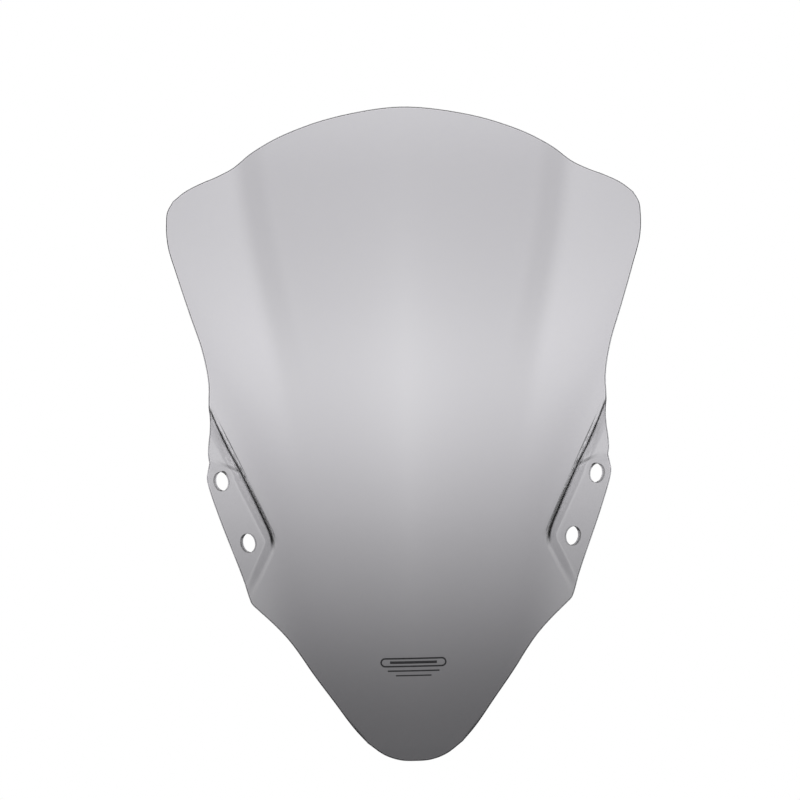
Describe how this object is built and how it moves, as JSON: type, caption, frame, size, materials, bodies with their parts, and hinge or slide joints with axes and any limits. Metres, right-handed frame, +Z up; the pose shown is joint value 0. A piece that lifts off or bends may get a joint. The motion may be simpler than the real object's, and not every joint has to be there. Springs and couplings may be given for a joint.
{
  "type": "motorcycle windshield screen",
  "caption": "Crowned smoked acrylic windshield screen with flared upper ears, a rounded nose and stepped side tabs with drilled fixing holes.",
  "frame": {"origin": "middle of the four fixing holes", "axes": "+Z up the screen from nose to top edge, +Y from the outer face towards the rider, +X across the screen; the screen is its own mirror image in X"},
  "size_m": [0.2988, 0.0694, 0.4122],
  "materials": {
    "smoked_acrylic": "polished, smoke tinted, clear to see through",
    "ink": "screen printed, satin"
  },
  "bodies": {
    "root": {"screen_sheet": "smoked_acrylic", "printed_mark": "ink"}
  },
  "joints": []
}
